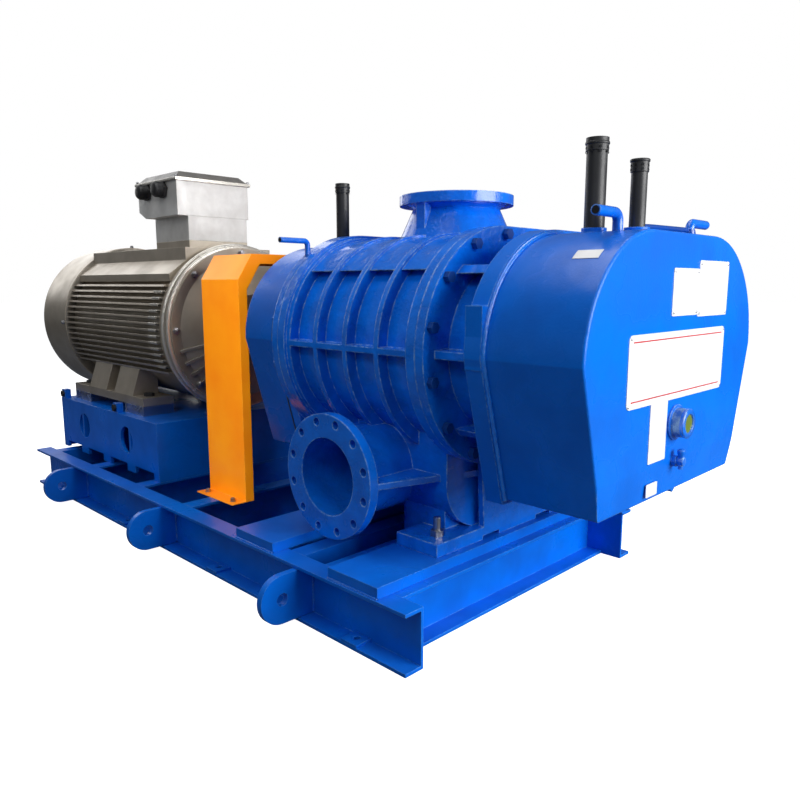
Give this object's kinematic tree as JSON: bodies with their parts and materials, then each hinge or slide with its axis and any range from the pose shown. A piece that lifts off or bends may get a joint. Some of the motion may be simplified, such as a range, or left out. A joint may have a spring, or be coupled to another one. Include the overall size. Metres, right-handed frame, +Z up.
{
  "type": "roots vacuum pump",
  "caption": "Motor-driven two-lobe rotary vacuum pump and blower on a channel base, with ribbed casing, top inlet, side discharge, coupling guard and timing-gear housing.",
  "frame": {"origin": "middle of the anchor bolt pattern, on the underside of the base", "axes": "+X from the motor to the timing-gear end, +Z up, -Y the discharge side"},
  "size_m": [3.368, 1.5176, 1.529],
  "materials": {
    "blue_paint": "glossy blue enamel",
    "orange_paint": "glossy orange enamel",
    "grey_paint": "semi-gloss grey motor paint",
    "black_paint": "semi-gloss black paint",
    "bolt_steel": "plated steel",
    "machined_steel": "machined steel",
    "rotor_iron": "machined ductile iron",
    "laminations": "laminated steel",
    "sight_lens": "clear oil glass",
    "seal_rubber": "black rubber",
    "gland_plastic": "black nylon"
  },
  "bodies": {
    "base_set": {"front_rail": "blue_paint", "rear_rail": "blue_paint", "cross_beam_1": "blue_paint", "cross_beam_2": "blue_paint", "cross_beam_3": "blue_paint", "cross_beam_4": "blue_paint", "cross_beam_5": "blue_paint", "cross_beam_6": "blue_paint", "cross_beam_7": "blue_paint", "cross_beam_8": "blue_paint", "cross_beam_9": "blue_paint", "lifting_lugs": "blue_paint", "anchor_pads": "blue_paint", "sole_plates": "blue_paint", "casing": "blue_paint", "casing_bolts": "blue_paint", "drive_side_plate": "blue_paint", "gear_side_plate": "blue_paint", "oil_cover": "blue_paint", "gear_housing": "blue_paint", "sight_glass_body": "blue_paint", "drain_plugs": "blue_paint", "vent_elbows": "blue_paint", "motor_pedestal": "blue_paint", "jack_blocks": "blue_paint", "coupling_guard": "orange_paint", "motor_frame": "grey_paint", "drive_end_shield": "grey_paint", "fan_end_shield": "grey_paint", "fan_cowl": "grey_paint", "fan_grille": "grey_paint", "terminal_riser": "grey_paint", "terminal_box": "grey_paint", "terminal_box_lid": "grey_paint", "breather_pipes": "black_paint", "breather_caps": "black_paint", "motor_bolts": "black_paint", "foundation_studs": "bolt_steel", "bearing_outer_rings": "machined_steel", "motor_bearing_outer_rings": "machined_steel", "motor_packers": "machined_steel", "stator": "laminations", "sight_glass_lens": "sight_lens", "shaft_seals": "seal_rubber", "cable_glands": "gland_plastic"},
    "drive_line": {"drive_rotor": "rotor_iron", "drive_shaft": "machined_steel", "drive_timing_gear": "machined_steel", "drive_bearing_inner_rings": "machined_steel", "blower_coupling_half": "rotor_iron", "motor_coupling_half": "rotor_iron", "coupling_pins": "machined_steel", "motor_shaft": "machined_steel", "motor_rotor_core": "laminations", "motor_fan": "gland_plastic", "motor_bearing_inner_rings": "machined_steel"},
    "driven_line": {"driven_rotor": "rotor_iron", "driven_shaft": "machined_steel", "driven_timing_gear": "machined_steel", "driven_bearing_inner_rings": "machined_steel"}
  },
  "joints": [
    {"name": "drive_line_spin", "type": "hinge", "parent": "base_set", "child": "drive_line", "pos_m": [0, -0.07, 0.84], "axis": [1, 0, 0], "continuous": true},
    {"name": "driven_line_spin", "type": "hinge", "parent": "base_set", "child": "driven_line", "pos_m": [0, 0.33, 0.84], "axis": [1, 0, 0], "continuous": true}
  ],
  "couplings": [
    {"joint": "driven_line_spin", "follows": "drive_line_spin", "ratio": -1}
  ]
}
